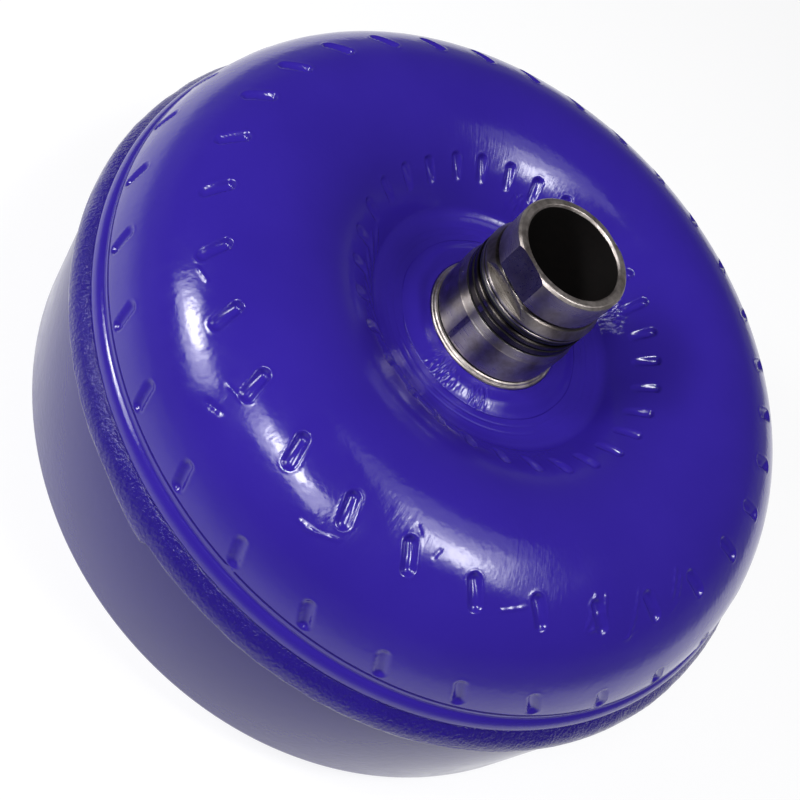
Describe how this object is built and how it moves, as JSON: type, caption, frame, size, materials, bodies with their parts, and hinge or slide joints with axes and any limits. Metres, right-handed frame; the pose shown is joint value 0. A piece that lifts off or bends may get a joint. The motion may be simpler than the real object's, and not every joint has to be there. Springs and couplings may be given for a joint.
{
  "type": "torque converter",
  "caption": "Welded round torque converter: blue pressed shell, deep front cover, bare steel pump hub, with impeller, turbine, stator and lock-up clutch inside.",
  "frame": {"origin": "centre of the crank pilot's tip, the lowest point of the standing converter", "axes": "+Z along the turning axis towards the pump hub; X and Y in the plane of the flexplate"},
  "size_m": [0.3108, 0.3108, 0.1675],
  "materials": {
    "blue_paint": "gloss",
    "machined_steel": "turned and ground",
    "stamped_steel": "as pressed, oiled",
    "bearing_steel": "ground",
    "spring_steel": "oil tempered",
    "cast_aluminium": "as cast",
    "friction_paper": "matt",
    "seal_rubber": "satin"
  },
  "bodies": {
    "housing": {"front_cover": "blue_paint", "crank_pilot": "machined_steel", "drive_pad_1": "machined_steel", "drive_pad_2": "machined_steel", "drive_pad_3": "machined_steel", "drive_pad_4": "machined_steel", "drive_pad_5": "machined_steel", "drive_pad_6": "machined_steel", "closing_weld": "blue_paint", "impeller_shell": "blue_paint", "impeller_blade_set": "stamped_steel", "pump_hub": "machined_steel", "hub_weld": "blue_paint", "balance_weight": "machined_steel", "drain_plug": "machined_steel", "hub_oring": "seal_rubber", "cover_thrust_race": "bearing_steel", "impeller_thrust_race": "bearing_steel"},
    "turbine": {"turbine_shell": "stamped_steel", "turbine_blade_set": "stamped_steel", "turbine_hub": "machined_steel", "damper_hub_plate": "stamped_steel", "piston_seal_ring": "machined_steel", "turbine_thrust_race": "bearing_steel"},
    "damper": {"damper_drive_plate": "stamped_steel", "damper_retainer_plate": "stamped_steel", "damper_spring_1": "spring_steel", "damper_spring_2": "spring_steel", "damper_spring_3": "spring_steel", "damper_spring_4": "spring_steel", "damper_spring_5": "spring_steel", "damper_spring_6": "spring_steel", "damper_spacer_1": "stamped_steel", "damper_spacer_2": "stamped_steel", "damper_spacer_3": "stamped_steel"},
    "piston": {"lockup_piston": "stamped_steel", "friction_lining": "friction_paper"},
    "inner_race": {"stator_inner_race": "bearing_steel", "stator_needle_cage": "bearing_steel"},
    "stator": {"stator_wheel": "cast_aluminium", "clutch_cam_race": "bearing_steel", "clutch_front_cap": "cast_aluminium", "clutch_rear_cap": "cast_aluminium", "clutch_snap_ring": "bearing_steel", "roller_cage": "bearing_steel", "clutch_roller_1": "bearing_steel", "clutch_roller_2": "bearing_steel", "clutch_roller_3": "bearing_steel", "clutch_roller_4": "bearing_steel", "clutch_roller_5": "bearing_steel", "clutch_roller_6": "bearing_steel", "clutch_roller_7": "bearing_steel", "clutch_roller_8": "bearing_steel"},
    "cover_bearing": {"cover_needle_cage": "bearing_steel"},
    "pump_bearing": {"impeller_needle_cage": "bearing_steel"}
  },
  "joints": [
    {"name": "turbine_spin", "type": "hinge", "parent": "housing", "child": "turbine", "pos_m": [0, 0, 0.06], "axis": [0, 0, 1], "continuous": true},
    {"name": "damper_twist", "type": "hinge", "parent": "turbine", "child": "damper", "pos_m": [0, 0, 0.032], "axis": [0, 0, 1], "range_deg": [-6, 6], "stiffness_Nm_per_rad": 600, "deforming": ["damper_spring_1", "damper_spring_2", "damper_spring_3", "damper_spring_4", "damper_spring_5", "damper_spring_6"]},
    {"name": "lockup_slide", "type": "slide", "parent": "damper", "child": "piston", "axis": [0, 0, 1], "range_m": [0, 0.0011]},
    {"name": "race_spin", "type": "hinge", "parent": "housing", "child": "inner_race", "pos_m": [0, 0, 0.082], "axis": [0, 0, 1], "continuous": true},
    {"name": "stator_freewheel", "type": "hinge", "parent": "inner_race", "child": "stator", "pos_m": [0, 0, 0.082], "axis": [0, 0, 1], "continuous": true},
    {"name": "cover_needle_roll", "type": "hinge", "parent": "housing", "child": "cover_bearing", "pos_m": [0, 0, 0.017], "axis": [0, 0, 1], "continuous": true},
    {"name": "pump_needle_roll", "type": "hinge", "parent": "housing", "child": "pump_bearing", "pos_m": [0, 0, 0.099], "axis": [0, 0, 1], "continuous": true}
  ],
  "couplings": [
    {"joint": "cover_needle_roll", "follows": "turbine_spin", "ratio": 0.5},
    {"joint": "pump_needle_roll", "follows": "race_spin", "ratio": 0.5}
  ]
}
